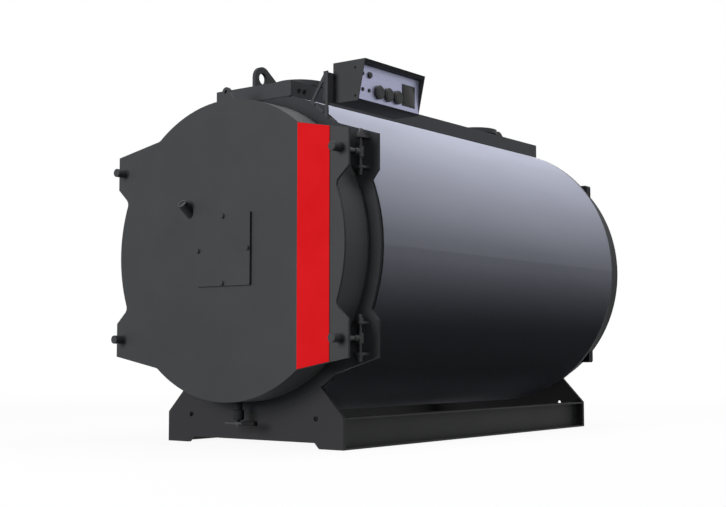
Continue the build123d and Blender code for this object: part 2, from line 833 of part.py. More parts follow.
lug_heights = [z + side * lug_spread for z in hinge_heights for side in (-1, 1)]
lug_length = front_y - pin_y
with BuildPart() as hinge_lugs:
    for z in lug_heights:
        with BuildSketch(Plane.XY.offset(z - lug_thickness / 2)):
            with Locations(*pin_places):
                Circle(lug_radius)
            with Locations(*[(x, pin_y + lug_length / 2) for x, y in pin_places]):
                Rectangle(2 * lug_radius, lug_length)
            with Locations(*pin_places):
                Circle(pin_radius + pin_clearance, mode=Mode.SUBTRACT)
        extrude(amount=lug_thickness)
hinge_lugs.part.label = "hinge_lugs"
export_step(hinge_lugs.part, "parts/hinge_lugs.step")

# Drain valve under the door's rim: pipe, round body and stem, with a lever below, longer on its grip side
drain_top_z = axis_height - door_radius - weld_gap
drain_body_top_z = drain_top_z - drain_pipe_length
drain_body_bottom_z = drain_body_top_z - drain_body_length
drain_axis = (0, drain_y)
with BuildPart() as drain_valve:
    with BuildSketch(Plane.XY.offset(drain_body_top_z)):
        with Locations(drain_axis):
            Circle(drain_pipe_radius)
    extrude(amount=drain_pipe_length)
    with BuildSketch(Plane.XY.offset(drain_body_bottom_z)):
        with Locations(drain_axis):
            Circle(drain_body_radius)
    extrude(amount=drain_body_length)
    body_rims = drain_valve.edges().filter_by(GeomType.CIRCLE).group_by(SortBy.RADIUS)[-1]
    chamfer(body_rims, length=drain_stem_radius / 2)
    with BuildSketch(Plane.XY.offset(drain_body_bottom_z - drain_stem_length - lever_thickness)):
        with Locations(drain_axis):
            Circle(drain_stem_radius)
    extrude(amount=drain_stem_length + lever_thickness)
drain_valve.part.label = "drain_valve"
export_step(drain_valve.part, "parts/drain_valve.step")

with BuildPart() as drain_lever:
    with BuildSketch(Plane.XY.offset(drain_body_bottom_z - drain_stem_length - lever_thickness)):
        with Locations(((lever_right - lever_left) / 2, drain_y)):
            SlotOverall(lever_left + lever_right, lever_width)
        with Locations(drain_axis):
            Circle(lever_hub_radius)
            Circle(drain_stem_radius + pin_clearance, mode=Mode.SUBTRACT)
    extrude(amount=lever_thickness)
drain_lever.part.label = "drain_lever"
export_step(drain_lever.part, "parts/drain_lever.step")
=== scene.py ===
import math

import bmesh
import bpy
from mathutils import Matrix, Vector


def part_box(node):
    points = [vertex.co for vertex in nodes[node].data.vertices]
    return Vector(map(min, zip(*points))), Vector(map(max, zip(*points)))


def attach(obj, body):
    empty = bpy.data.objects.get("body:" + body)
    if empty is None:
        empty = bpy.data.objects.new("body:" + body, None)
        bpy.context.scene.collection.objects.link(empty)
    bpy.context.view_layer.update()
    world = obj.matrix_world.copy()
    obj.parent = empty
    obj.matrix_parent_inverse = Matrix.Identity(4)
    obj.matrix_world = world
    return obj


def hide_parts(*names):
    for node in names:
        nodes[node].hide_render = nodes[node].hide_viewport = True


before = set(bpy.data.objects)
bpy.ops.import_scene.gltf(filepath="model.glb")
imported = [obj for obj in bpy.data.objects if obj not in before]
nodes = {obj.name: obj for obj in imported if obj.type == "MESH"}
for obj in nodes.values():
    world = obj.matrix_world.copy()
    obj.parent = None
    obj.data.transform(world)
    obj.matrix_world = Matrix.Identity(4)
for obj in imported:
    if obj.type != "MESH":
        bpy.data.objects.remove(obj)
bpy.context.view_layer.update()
print("frame loaded:", len(nodes), "nodes")

mm = 0.001
axisZ = 0.828  # height of the boiler's own axis
sameSpot = 1e-6  # points closer than this are one
sharpAngle = math.radians(32)  # edges sharper than this stay crisp


# sRGB hex to the linear colour that the sockets take
def linear(code):
    parts = [int(code[i:i + 2], 16) / 255 for i in (1, 3, 5)]
    return tuple(c / 12.92 if c <= 0.04045 else ((c + 0.055) / 1.055) ** 2.4 for c in parts) + (1.0,)


# settings are attributes, input values or a ramp's stops, links are inputs fed by other nodes' outputs
def setNode(tree, node, settings=None, links=None):
    for key, value in (settings or {}).items():
        if key == "stops":
            for element, (position, code) in zip(node.color_ramp.elements, value):
                element.position, element.color = position, linear(code)
        elif isinstance(key, str) and hasattr(node, key):
            setattr(node, key, value)
        else:
            node.inputs[key].default_value = value
    for key, socket in (links or {}).items():
        tree.links.new(socket, node.inputs[key])
    return node


def addNode(tree, kind, settings=None, links=None):
    return setNode(tree, tree.nodes.new(kind), settings, links)


def newMaterial(name):
    material = bpy.data.materials.new(name)
    material.use_nodes = True
    tree = material.node_tree
    tree.nodes.clear()
    surface = addNode(tree, "ShaderNodeBsdfPrincipled")
    addNode(tree, "ShaderNodeOutputMaterial", links={"Surface": surface.outputs[0]})
    place = addNode(tree, "ShaderNodeTexCoord").outputs["Object"]
    return material, tree, surface, place


# Powder coat on steel: baked on, so the eye sees a satin skin with a fine orange peel,
# cloudy shade over a hand's width, and dust that lightens it a little
def powderCoat(name, code, dusty, peelMm, roughness, gloss):
    material, tree, surface, place = newMaterial(name)
    cloud = addNode(tree, "ShaderNodeTexNoise", {"Scale": 1 / (220 * mm), "Detail": 4.0, "Roughness": 0.6},
                    {"Vector": place})
    shade = addNode(tree, "ShaderNodeValToRGB", {"stops": ((0.3, code), (0.75, dusty))}, {"Fac": cloud.outputs["Fac"]})
    peel = addNode(tree, "ShaderNodeTexNoise", {"Scale": 1 / (peelMm * mm), "Detail": 2.0}, {"Vector": place})
    bump = addNode(tree, "ShaderNodeBump", {"Strength": 0.12, "Distance": 0.4 * mm}, {"Height": peel.outputs["Fac"]})
    rub = addNode(tree, "ShaderNodeMapRange", {"To Min": roughness - 0.06, "To Max": roughness + 0.08},
                  {"Value": cloud.outputs["Fac"]})
    setNode(tree, surface, {"Specular IOR Level": gloss}, {
        "Base Color": shade.outputs["Color"], "Normal": bump.outputs["Normal"], "Roughness": rub.outputs["Result"]})
    return material


# Silver lacquered steel sheet, roll coated and then rolled to a drum: fine marks round the drum,
# long faint oil-canning along it, and a soft sheen from the flakes in the lacquer
def lacquerSheet(look):
    material, tree, surface, place = newMaterial("silverLacquerSheet")
    wide = addNode(tree, "ShaderNodeMapping", {"Scale": (1.0, 0.25, 1.0)}, {"Vector": place})
    cloud = addNode(tree, "ShaderNodeTexNoise", {"Scale": 1 / (look["cloudMm"] * mm), "Detail": 5.0},
                    {"Vector": wide.outputs[0]})
    shade = addNode(tree, "ShaderNodeValToRGB", {"stops": ((0.35, look["dark"]), (0.7, look["light"]))},
                    {"Fac": cloud.outputs["Fac"]})
    along = addNode(tree, "ShaderNodeMapping", {"Scale": (0.02, 1.0, 0.02)}, {"Vector": place})
    marks = addNode(tree, "ShaderNodeTexNoise", {"Scale": 1 / (look["markMm"] * mm), "Detail": 3.0},
                    {"Vector": along.outputs[0]})
    bump = addNode(tree, "ShaderNodeBump", {"Strength": 0.05, "Distance": 0.3 * mm}, {"Height": marks.outputs["Fac"]})
    waves = addNode(tree, "ShaderNodeTexNoise", {"Scale": 1 / (look["waveMm"] * mm), "Detail": 1.0},
                    {"Vector": wide.outputs[0]})
    swell = addNode(tree, "ShaderNodeBump", {"Strength": 0.15, "Distance": 4 * mm},
                    {"Height": waves.outputs["Fac"], "Normal": bump.outputs["Normal"]})
    setNode(tree, surface, {"Metallic": look["metallic"], "Roughness": look["roughness"],
                            "Specular IOR Level": look["gloss"]},
            {"Base Color": shade.outputs["Color"], "Normal": swell.outputs["Normal"]})
    return material


# Boiler plate and drawn tube as they leave the mill: blue-black scale, with rust where it was wetted
def millSteel():
    material, tree, surface, place = newMaterial("millScaleSteel")
    patches = addNode(tree, "ShaderNodeTexNoise", {"Scale": 1 / (90 * mm), "Detail": 8.0, "Roughness": 0.7},
                      {"Vector": place})
    shade = addNode(tree, "ShaderNodeValToRGB", {"stops": ((0.45, "#3c3b3b"), (0.75, "#5a4030"))},
                    {"Fac": patches.outputs["Fac"]})
    grit = addNode(tree, "ShaderNodeTexNoise", {"Scale": 1 / (4 * mm), "Detail": 4.0}, {"Vector": place})
    bump = addNode(tree, "ShaderNodeBump", {"Strength": 0.25, "Distance": 0.6 * mm}, {"Height": grit.outputs["Fac"]})
    setNode(tree, surface, {"Metallic": 0.4, "Roughness": 0.62},
            {"Base Color": shade.outputs["Color"], "Normal": bump.outputs["Normal"]})
    return material


# Castable refractory, poured and trowelled: pale and chalky, with pits and a few darker stones
def refractory():
    material, tree, surface, place = newMaterial("castRefractory")
    stones = addNode(tree, "ShaderNodeTexVoronoi", {"Scale": 1 / (14 * mm)}, {"Vector": place})
    shade = addNode(tree, "ShaderNodeValToRGB", {"stops": ((0.1, "#a89c86"), (0.5, "#d8cfbd"))},
                    {"Fac": stones.outputs["Distance"]})
    pits = addNode(tree, "ShaderNodeTexNoise", {"Scale": 1 / (9 * mm), "Detail": 6.0}, {"Vector": place})
    bump = addNode(tree, "ShaderNodeBump", {"Strength": 0.5, "Distance": 1.5 * mm}, {"Height": pits.outputs["Fac"]})
    setNode(tree, surface, {"Roughness": 0.92},
            {"Base Color": shade.outputs["Color"], "Normal": bump.outputs["Normal"]})
    return material


# Brushed and clear-anodised aluminium: fine lines along the face that smear its highlights
def brushedAluminium():
    material, tree, surface, place = newMaterial("brushedAluminium")
    along = addNode(tree, "ShaderNodeMapping", {"Scale": (1.0, 0.01, 1.0)}, {"Vector": place})
    lines = addNode(tree, "ShaderNodeTexNoise", {"Scale": 1 / (1.5 * mm), "Detail": 3.0}, {"Vector": along.outputs[0]})
    shade = addNode(tree, "ShaderNodeValToRGB", {"stops": ((0.2, "#9da0bb"), (0.8, "#b0b2cc"))},
                    {"Fac": lines.outputs["Fac"]})
    bump = addNode(tree, "ShaderNodeBump", {"Strength": 0.05, "Distance": 0.1 * mm}, {"Height": lines.outputs["Fac"]})
    setNode(tree, surface, {"Metallic": 0.75, "Roughness": 0.45},
            {"Base Color": shade.outputs["Color"], "Normal": bump.outputs["Normal"]})
    return material


# Moulded black ABS: spark-eroded tool, so a fine even grain breaks up the shine
def blackAbs():
    material, tree, surface, place = newMaterial("blackAbs")
    grain = addNode(tree, "ShaderNodeTexVoronoi", {"Scale": 1 / (1.2 * mm)}, {"Vector": place})
    bump = addNode(tree, "ShaderNodeBump", {"Strength": 0.15, "Distance": 0.15 * mm},
                   {"Height": grain.outputs["Distance"]})
    shade = addNode(tree, "ShaderNodeValToRGB", {"stops": ((0, "#1b1c1e"), (1, "#242527"))},
                    {"Fac": grain.outputs["Distance"]})
    setNode(tree, surface, {"Roughness": 0.5, "Specular IOR Level": 0.3},
            {"Base Color": shade.outputs["Color"], "Normal": bump.outputs["Normal"]})
    return material


# Glass-fibre rope rubbed with graphite: dark strands whose twisted yarns show as slanted bands
def glassRope():
    material, tree, surface, place = newMaterial("wovenGlassRope")
    slanted = addNode(tree, "ShaderNodeMapping", {"Rotation": (0.6, 0.6, 0.6)}, {"Vector": place})
    bands = addNode(tree, "ShaderNodeTexWave", {"Scale": 1 / (40 * mm), "Distortion": 1.5},
                    {"Vector": slanted.outputs[0]})
    shade = addNode(tree, "ShaderNodeValToRGB", {"stops": ((0, "#1e1d1c"), (1, "#3a3936"))},
                    {"Fac": bands.outputs["Fac"]})
    bump = addNode(tree, "ShaderNodeBump", {"Strength": 0.6, "Distance": 1.0 * mm}, {"Height": bands.outputs["Fac"]})
    setNode(tree, surface, {"Roughness": 0.9},
            {"Base Color": shade.outputs["Color"], "Normal": bump.outputs["Normal"]})
    return material


# Toughened sight glass: smoked by the flame behind it, a little green in its thickness
def sightGlass():
    material, tree, surface, place = newMaterial("toughenedGlass")
    smear = addNode(tree, "ShaderNodeTexNoise", {"Scale": 1 / (12 * mm), "Detail": 3.0}, {"Vector": place})
    rub = addNode(tree, "ShaderNodeMapRange", {"To Min": 0.08, "To Max": 0.22}, {"Value": smear.outputs["Fac"]})
    setNode(tree, surface, {"Base Color": linear("#2c2e2d"), "Transmission Weight": 0.3, "IOR": 1.5,
                            "Specular IOR Level": 0.2}, {"Roughness": rub.outputs["Result"]})
    return material


# Tinted acrylic over an unlit screen: dark, smooth, with a few wiped smears in its shine
def displayScreen():
    material, tree, surface, place = newMaterial("tintedAcrylic")
    smear = addNode(tree, "ShaderNodeTexNoise", {"Scale": 1 / (25 * mm), "Detail": 3.0}, {"Vector": place})
    rub = addNode(tree, "ShaderNodeMapRange", {"To Min": 0.12, "To Max": 0.28}, {"Value": smear.outputs["Fac"]})
    shade = addNode(tree, "ShaderNodeValToRGB", {"stops": ((0, "#1c1d20"), (1, "#242528"))},
                    {"Fac": smear.outputs["Fac"]})
    setNode(tree, surface, {"Specular IOR Level": 0.25},
            {"Base Color": shade.outputs["Color"], "Roughness": rub.outputs["Result"]})
    return material


# White ink pressed into moulded pointers: slightly worn, so its shade is uneven
def pointerInk():
    material, tree, surface, place = newMaterial("pointerInk")
    wear = addNode(tree, "ShaderNodeTexNoise", {"Scale": 1 / (2 * mm), "Detail": 3.0}, {"Vector": place})
    shade = addNode(tree, "ShaderNodeValToRGB", {"stops": ((0, "#8d8e92"), (1, "#c9cacc"))},
                    {"Fac": wear.outputs["Fac"]})
    setNode(tree, surface, {"Roughness": 0.6}, {"Base Color": shade.outputs["Color"]})
    return material


# Moulded EPDM rubber: matt and nearly black, with a faint grey bloom
def mouldedRubber():
    material, tree, surface, place = newMaterial("epdmRubber")
    bloom = addNode(tree, "ShaderNodeTexNoise", {"Scale": 1 / (18 * mm), "Detail": 4.0}, {"Vector": place})
    shade = addNode(tree, "ShaderNodeValToRGB", {"stops": ((0, "#111213"), (1, "#191a1b"))},
                    {"Fac": bloom.outputs["Fac"]})
    skin = addNode(tree, "ShaderNodeTexNoise", {"Scale": 1 / (1.0 * mm), "Detail": 2.0}, {"Vector": place})
    bump = addNode(tree, "ShaderNodeBump", {"Strength": 0.1, "Distance": 0.2 * mm}, {"Height": skin.outputs["Fac"]})
    setNode(tree, surface, {"Roughness": 0.8, "Specular IOR Level": 0.15},
            {"Base Color": shade.outputs["Color"], "Normal": bump.outputs["Normal"]})
    return material


# Zinc-plated steel: dull grey metal with the spangle of the plating bath
def zincPlate():
    material, tree, surface, place = newMaterial("zincPlatedSteel")
    spangle = addNode(tree, "ShaderNodeTexVoronoi", {"Scale": 1 / (5 * mm)}, {"Vector": place})
    shade = addNode(tree, "ShaderNodeValToRGB", {"stops": ((0, "#2e2f31"), (1, "#3a3b3d"))},
                    {"Fac": spangle.outputs["Distance"]})
    rub = addNode(tree, "ShaderNodeMapRange", {"To Min": 0.42, "To Max": 0.6}, {"Value": spangle.outputs["Distance"]})
    setNode(tree, surface, {"Metallic": 0.6},
            {"Base Color": shade.outputs["Color"], "Roughness": rub.outputs["Result"]})
    return material


doorGrey = powderCoat("doorGreyPowderCoat", "#353638", "#3b3c3e", peelMm=2.2, roughness=0.55, gloss=0.15)
# The door rim wears the door's grey painted lighter: painted light on its shaded side
rimPaintedLightGrey = powderCoat("rimPaintedLightGreyPowderCoat", "#3f4042", "#454648", peelMm=2.2, roughness=0.55, gloss=0.15)
# The sight tube wears the door's grey painted near black: painted shade on its side
sightPaintedShadeBlack = powderCoat("sightTubePaintedShadePowderCoat", "#17181a", "#1e1f21", peelMm=2.2, roughness=0.5, gloss=0.2)
frontGrey = powderCoat("frontPlatePowderCoat", "#303134", "#37383b", peelMm=2.2, roughness=0.6, gloss=0.08)
bodyGrey = powderCoat("bodyGreyPowderCoat", "#303135", "#37383c", peelMm=2.2, roughness=0.55, gloss=0.2)
smokeGrey = powderCoat("smokeBoxPowderCoat", "#303135", "#37383c", peelMm=2.2, roughness=0.55, gloss=0.13)
# Hinge hardware and sight ring: a grey painted lighter than the door's, painted light in the shaded hinge gap and a
# painted highlight on the ring
hardwarePaintedLightGrey = powderCoat("hardwarePaintedLightPowderCoat", "#3e3f41", "#454648", peelMm=2.0, roughness=0.45, gloss=0.4)
coverGrey = powderCoat("coverGreyPowderCoat", "#2e2f32", "#35363a", peelMm=2.2, roughness=0.6, gloss=0.1)
# The base's end plates wear the base grey painted darker: painted shade on their faces
basePlatePaintedShadeGrey = powderCoat("basePlatePaintedShadePowderCoat", "#19191c", "#1f1f22", peelMm=3.0, roughness=0.6, gloss=0.26)
baseGrey = powderCoat("baseGreyPowderCoat", "#1d1e1f", "#232425", peelMm=3.0, roughness=0.6, gloss=0.3)
valveBlack = powderCoat("valveBlackPowderCoat", "#1c1d1f", "#232426", peelMm=3.0, roughness=0.6, gloss=0.1)
panelGrey = powderCoat("panelGreyPowderCoat", "#3f4042", "#454648", peelMm=1.6, roughness=0.5, gloss=0.02)
stripRed = powderCoat("signalRedPowderCoat", "#d00f15", "#d8171d", peelMm=2.2, roughness=0.5, gloss=0.05)
silverSheet = lacquerSheet({"dark": "#adb0c0", "light": "#b6b9c8", "cloudMm": 380, "markMm": 3, "waveMm": 500,
                            "metallic": 0.0, "roughness": 0.55, "gloss": 0.002})
millPlate = millSteel()
castLining = refractory()
panelAluminium = brushedAluminium()
panelBlack = blackAbs()
ropeGlass = glassRope()
clearGlass = sightGlass()
screenGlass = displayScreen()
paleInk = pointerInk()
blackRubber = mouldedRubber()
platedSteel = zincPlate()
print("materials made")

finishes = {
    doorGrey: ["door_plate", "burner_plate", "door_knobs"],
    rimPaintedLightGrey: ["door_rim"],
    sightPaintedShadeBlack: ["sight_tube"],
    frontGrey: ["front_plate"],
    bodyGrey: ["rear_plate", "flue_spigot", "platform", "lifting_lug_front", "lifting_lug_rear",
               "flow_pipe", "flow_flange", "return_pipe", "return_flange", "panel_bracket"],
    hardwarePaintedLightGrey: ["hinge_lugs", "hinge_pins", "hinge_eye_bolts", "latch_rods", "latch_swivels"],
    smokeGrey: ["smoke_box"],
    coverGrey: ["smoke_cover", "smoke_box_clamps"],
    valveBlack: ["drain_valve"],
    platedSteel: ["drain_lever"],
    basePlatePaintedShadeGrey: ["base_front_plate", "base_rear_plate"],
    baseGrey: ["base_channel_left", "base_channel_right"],
    silverSheet: ["jacket"],
    millPlate: ["pressure_shell", "furnace", "smoke_tubes"],
    castLining: ["door_lining"],
    ropeGlass: ["door_seal"],
    stripRed: ["red_strip"],
    clearGlass: ["sight_glass"],
    panelGrey: ["panel_box"],
    panelAluminium: ["panel_face"],
    panelBlack: ["panel_display", "panel_buttons", "panel_dial_1", "panel_dial_2", "panel_dial_3"],
}
for finish, names in finishes.items():
    for name in names:
        nodes[name].data.materials.clear()
        nodes[name].data.materials.append(finish)
print("CAD nodes finished:", sum(len(names) for names in finishes.values()))


# an empty Geometry Nodes tree with the given inputs and one output
def newTree(name, inputs):
    tree = bpy.data.node_groups.new(name, "GeometryNodeTree")
    for label, kind in inputs.items():
        tree.interface.new_socket(label, in_out="INPUT", socket_type="NodeSocket" + kind)
    tree.interface.new_socket("Geometry", in_out="OUTPUT", socket_type="NodeSocketGeometry")
    return tree, addNode(tree, "NodeGroupInput")


# Geometry Nodes tree that sets one piece on many points, each turned by its own "turn" attribute
def spreadTree():
    tree, given = newTree("spreadPieces", {"Points": "Geometry", "Piece": "Object", "Size": "Float",
                                           "Finish": "Material"})
    turn = addNode(tree, "GeometryNodeInputNamedAttribute", {"data_type": "FLOAT_VECTOR", "Name": "turn"})
    rotation = addNode(tree, "FunctionNodeEulerToRotation", links={0: turn.outputs["Attribute"]})
    piece = addNode(tree, "GeometryNodeObjectInfo", links={"Object": given.outputs["Piece"]})
    spread = addNode(tree, "GeometryNodeInstanceOnPoints", links={
        "Points": given.outputs["Points"], "Instance": piece.outputs["Geometry"],
        "Rotation": rotation.outputs[0], "Scale": given.outputs["Size"]})
    real = addNode(tree, "GeometryNodeRealizeInstances", links={0: spread.outputs[0]})
    painted = addNode(tree, "GeometryNodeSetMaterial",
                      links={"Geometry": real.outputs[0], "Material": given.outputs["Finish"]})
    addNode(tree, "NodeGroupOutput", links={0: painted.outputs[0]})
    return tree


# Geometry Nodes tree that lays a round bar along a route, swelling and thinning by "Ripple" as a welder's hand does
def routeTree():
    tree, given = newTree("followRoute", {"Route": "Geometry", "Radius": "Float", "Step": "Float", "Ripple": "Float",
                                          "Sides": "Int", "Finish": "Material"})
    curve = addNode(tree, "GeometryNodeMeshToCurve", links={"Mesh": given.outputs["Route"]})
    even = addNode(tree, "GeometryNodeResampleCurve", {"mode": "LENGTH"},
                   {"Curve": curve.outputs[0], "Length": given.outputs["Step"]})
    index = addNode(tree, "GeometryNodeInputIndex")
    phase = addNode(tree, "ShaderNodeMath", {"operation": "MULTIPLY", 1: 2.1}, {0: index.outputs[0]})
    wave = addNode(tree, "ShaderNodeMath", {"operation": "SINE"}, {0: phase.outputs[0]})
    swell = addNode(tree, "ShaderNodeMath", {"operation": "MULTIPLY_ADD", 2: 1.0},
                    {0: wave.outputs[0], 1: given.outputs["Ripple"]})
    ring = addNode(tree, "GeometryNodeCurvePrimitiveCircle",
                   links={"Resolution": given.outputs["Sides"], "Radius": given.outputs["Radius"]})
    bar = addNode(tree, "GeometryNodeCurveToMesh", {"Fill Caps": True},
                  {"Curve": even.outputs[0], "Profile Curve": ring.outputs["Curve"], "Scale": swell.outputs[0]})
    real = addNode(tree, "GeometryNodeRealizeInstances", links={0: bar.outputs[0]})
    painted = addNode(tree, "GeometryNodeSetMaterial",
                      links={"Geometry": real.outputs[0], "Material": given.outputs["Finish"]})
    addNode(tree, "NodeGroupOutput", links={0: painted.outputs[0]})
    return tree


pieceTree = spreadTree()
barTree = routeTree()


# the plain mesh that a Geometry Nodes tree makes of a base mesh, with the tree's inputs given by name
def grownMesh(name, base, tree, given):
    holder = bpy.data.objects.new(name + "Base", base)
    bpy.context.collection.objects.link(holder)
    modifier = holder.modifiers.new("grow", "NODES")
    modifier.node_group = tree
    for item in tree.interface.items_tree:
        if item.name in given:
            modifier[item.identifier] = given[item.name]
    mesh = bpy.data.meshes.new_from_object(holder.evaluated_get(bpy.context.evaluated_depsgraph_get()))
    holder.modifiers.remove(modifier)
    bpy.data.objects.remove(holder)
    mesh.name = name
    shape = bmesh.new()
    shape.from_mesh(mesh)
    bmesh.ops.remove_doubles(shape, verts=shape.verts, dist=sameSpot)
    bmesh.ops.recalc_face_normals(shape, faces=shape.faces)
    shape.to_mesh(mesh)
    shape.free()
    return mesh


# a finished object from a mesh: smooth with sharp edges, riding on its body
def finishPiece(name, mesh, finish, body):
    mesh.materials.clear()
    mesh.materials.append(finish)
    for face in mesh.polygons:
        face.use_smooth = True
    mesh.set_sharp_from_angle(angle=sharpAngle)
    piece = bpy.data.objects.new(name, mesh)
    bpy.context.collection.objects.link(piece)
    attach(piece, body)
    return piece


# the master mesh set on every place: a place is a point and the turn of the piece's own Z axis
def spreadPiece(name, master, places, finish, body, size=1.0):
    points = bpy.data.meshes.new(name + "Points")
    points.from_pydata([point for point, turn in places], [], [])
    attribute = points.attributes.new("turn", "FLOAT_VECTOR", "POINT")
    for index, (point, turn) in enumerate(places):
        attribute.data[index].vector = turn
    seed = bpy.data.objects.new(name + "Seed", master)
    bpy.context.collection.objects.link(seed)
    mesh = grownMesh(name, points, pieceTree, {"Piece": seed, "Size": size, "Finish": finish})
    bpy.data.objects.remove(seed)
    return finishPiece(name, mesh, finish, body)


# a round bar along each route: a route is its points and whether it closes
def routePiece(name, routes, bar, finish, body):
    corners, edges = [], []
    for route, closed in routes:
        first = len(corners)
        corners += [tuple(point) for point in route]
        edges += [(i, i + 1) for i in range(first, len(corners) - 1)]
        if closed:
            edges.append((len(corners) - 1, first))
    base = bpy.data.meshes.new(name + "Route")
    base.from_pydata(corners, edges, [])
    given = {"Radius": bar["radius"], "Step": bar["step"], "Ripple": bar["ripple"], "Sides": bar["sides"],
             "Finish": finish}
    return finishPiece(name, grownMesh(name, base, barTree, given), finish, body)


# rings of points about Z, joined up: a turned shape with the given number of sides
def turned(shape, profile, sides):
    angles = [2 * math.pi * i / sides for i in range(sides)]
    rings = []
    for radius, height in profile:
        count = sides if radius > sameSpot else 1
        rings.append([shape.verts.new((radius * math.cos(a), radius * math.sin(a), height)) for a in angles[:count]])
    for lower, upper in zip(rings, rings[1:]):
        for i in range(sides):
            corners = [lower[i % len(lower)], lower[(i + 1) % len(lower)],
                       upper[(i + 1) % len(upper)], upper[i % len(upper)]]
            unique = list(dict.fromkeys(corners))
            if len(unique) > 2:
                shape.faces.new(unique)


# turned shapes in one mesh: each part is a profile of radius and height in millimetres and its number of sides
def meshFrom(name, *parts, place=None):
    shape = bmesh.new()
    for profile, sides in parts:
        turned(shape, [(radius * mm, height * mm) for radius, height in profile], sides)
    bmesh.ops.remove_doubles(shape, verts=shape.verts, dist=sameSpot)
    bmesh.ops.recalc_face_normals(shape, faces=shape.faces)
    mesh = bpy.data.meshes.new(name)
    shape.to_mesh(mesh)
    shape.free()
    if place:
        mesh.transform(place)
    return mesh


def middleOf(name):
    low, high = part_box(name)
    return (Vector(low) + Vector(high)) / 2


facingFront = (math.radians(90), 0, 0)  # a piece's own Z axis towards the door
facingBack = (math.radians(-90), 0, 0)
facingRight = (0, math.radians(90), 0)
downward = (math.radians(180), 0, 0)

# Bolts, nuts and screws, in millimetres
hexBolt = {"head": 10.4, "height": 8, "chamfer": 1.2, "washer": 12, "washerHeight": 2.2}
hexNut = {"head": 15.0, "height": 13, "chamfer": 1.6, "washer": 17.5, "washerHeight": 2.8}
hexEdge = {"washerDown": 0.4, "washerIn": 0.6, "overlap": 0.1, "slope": 1.4}
panScrew = {"head": 6.0, "height": 3.2}


def hexMesh(name, size):
    washer = [(0, 0), (size["washer"], 0), (size["washer"], size["washerHeight"] - hexEdge["washerDown"]),
              (size["washer"] - hexEdge["washerIn"], size["washerHeight"]), (0, size["washerHeight"])]
    base, top = size["washerHeight"] - hexEdge["overlap"], size["washerHeight"] + size["height"]
    head = [(0, base), (size["head"], base), (size["head"], top - size["chamfer"]),
            (size["head"] - size["chamfer"] * hexEdge["slope"], top), (0, top)]
    return meshFrom(name, (washer, 28), (head, 6))


# Four bolts near the edges of the burner plate
burnerMiddle = middleOf("burner_plate")
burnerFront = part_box("burner_plate")[0][1]
burnerReach = 0.142
burnerPlaces = [((burnerMiddle.x + dx * burnerReach, burnerFront, burnerMiddle.z + dz * burnerReach), facingFront)
                for dx, dz in ((1, 0), (-1, 0), (0, 1), (0, -1))]
spreadPiece("burnerPlateBolts", hexMesh("burnerBolt", hexBolt), burnerPlaces, doorGrey, "door")

# Screwed ring that holds the glass in the end of the sight tube, in millimetres; its lighter coat is a painted
# highlight on the tube's end
sightRing = {"tilt": 37, "toEnd": 5.0, "bore": 15.4, "sleeve": 17.6, "flange": 19.8, "deep": 2.7, "proud": 0.8,
             "rimDown": 0.3, "rimIn": 0.4, "lip": 0.5}


def sightSection(ring):
    bore, sleeve, flange, deep, proud = [ring[key] for key in ("bore", "sleeve", "flange", "deep", "proud")]
    return [(bore, -deep), (sleeve, -deep), (sleeve, 0), (flange, 0), (flange, proud - ring["rimDown"]),
            (flange - ring["rimIn"], proud), (bore + ring["lip"], proud), (bore, proud - ring["lip"]), (bore, -deep)]


sightTilt = math.radians(sightRing["tilt"])
sightEnd = middleOf("sight_glass") + Vector((0, -math.cos(sightTilt), math.sin(sightTilt))) * sightRing["toEnd"] * mm
sightPlace = [(sightEnd, (math.radians(90) - sightTilt, 0, 0))]
spreadPiece("sightRing", meshFrom("sightRing", (sightSection(sightRing), 48)), sightPlace,
            hardwarePaintedLightGrey, "door")

# Two small bolts through the foot of the panel's bracket
bracketSpots = ((0.3498, 1.4345), (0.3957, 1.3959))
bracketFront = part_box("panel_bracket")[0][1]
bracketPlaces = [((x, bracketFront, z), facingFront) for x, z in bracketSpots]
spreadPiece("bracketBolts", hexMesh("bracketBolt", hexBolt), bracketPlaces, bodyGrey, "boiler", size=0.55)

# Round-headed socket screws on both ends of the panel box
screwSpots = {"x": 0.521, "heights": (1.580, 1.461)}
panelLow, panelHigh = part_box("panel_box")
screwDome = [(0, 0), (panScrew["head"], 0), (panScrew["head"] * 0.95, panScrew["height"] * 0.5),
             (panScrew["head"] * 0.6, panScrew["height"]), (panScrew["head"] * 0.3, panScrew["height"]),
             (panScrew["head"] * 0.25, panScrew["height"] * 0.4), (0, panScrew["height"] * 0.4)]
screwPlaces = [((screwSpots["x"], side, z), turn)
               for side, turn in ((panelLow[1], facingFront), (panelHigh[1], facingBack))
               for z in screwSpots["heights"]]
spreadPiece("panelSideScrews", meshFrom("panelScrew", (screwDome, 20)), screwPlaces,
            valveBlack, "boiler")

# Nuts on the rods behind the ears, and under the lower lug of each pin
rods = {"across": 0.619, "rise": 0.3749, "nutDrop": 0.067}
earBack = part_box("door_plate")[1][1]
rodMiddles = [(x, z) for x in (-rods["across"], rods["across"])
              for z in (axisZ - rods["rise"], axisZ + rods["rise"])]
spreadPiece("earNuts", hexMesh("earNut", hexNut), [((x, earBack, z), facingBack) for x, z in rodMiddles],
            hardwarePaintedLightGrey, "door")
pinMiddle = middleOf("hinge_pins")
pinNutPlaces = [((x, pinMiddle.y, z - rods["nutDrop"]), downward) for x, z in rodMiddles]
spreadPiece("pinNuts", hexMesh("pinNut", hexNut), pinNutPlaces, hardwarePaintedLightGrey, "boiler", size=0.85)

# A bolt through each clamp of the smoke box cover
clampLow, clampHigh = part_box("smoke_box_clamps")
smokeAxis = middleOf("smoke_box")
clampInset = 0.019
clampPlaces = [((x, clampHigh[1], z), facingBack) for x in (clampLow[0] + clampInset, clampHigh[0] - clampInset)
               for z in (clampLow[2] + clampInset, clampHigh[2] - clampInset)]
spreadPiece("clampBolts", hexMesh("clampBolt", hexBolt), clampPlaces, coverGrey, "boiler")
print("bolts, nuts and screws set")

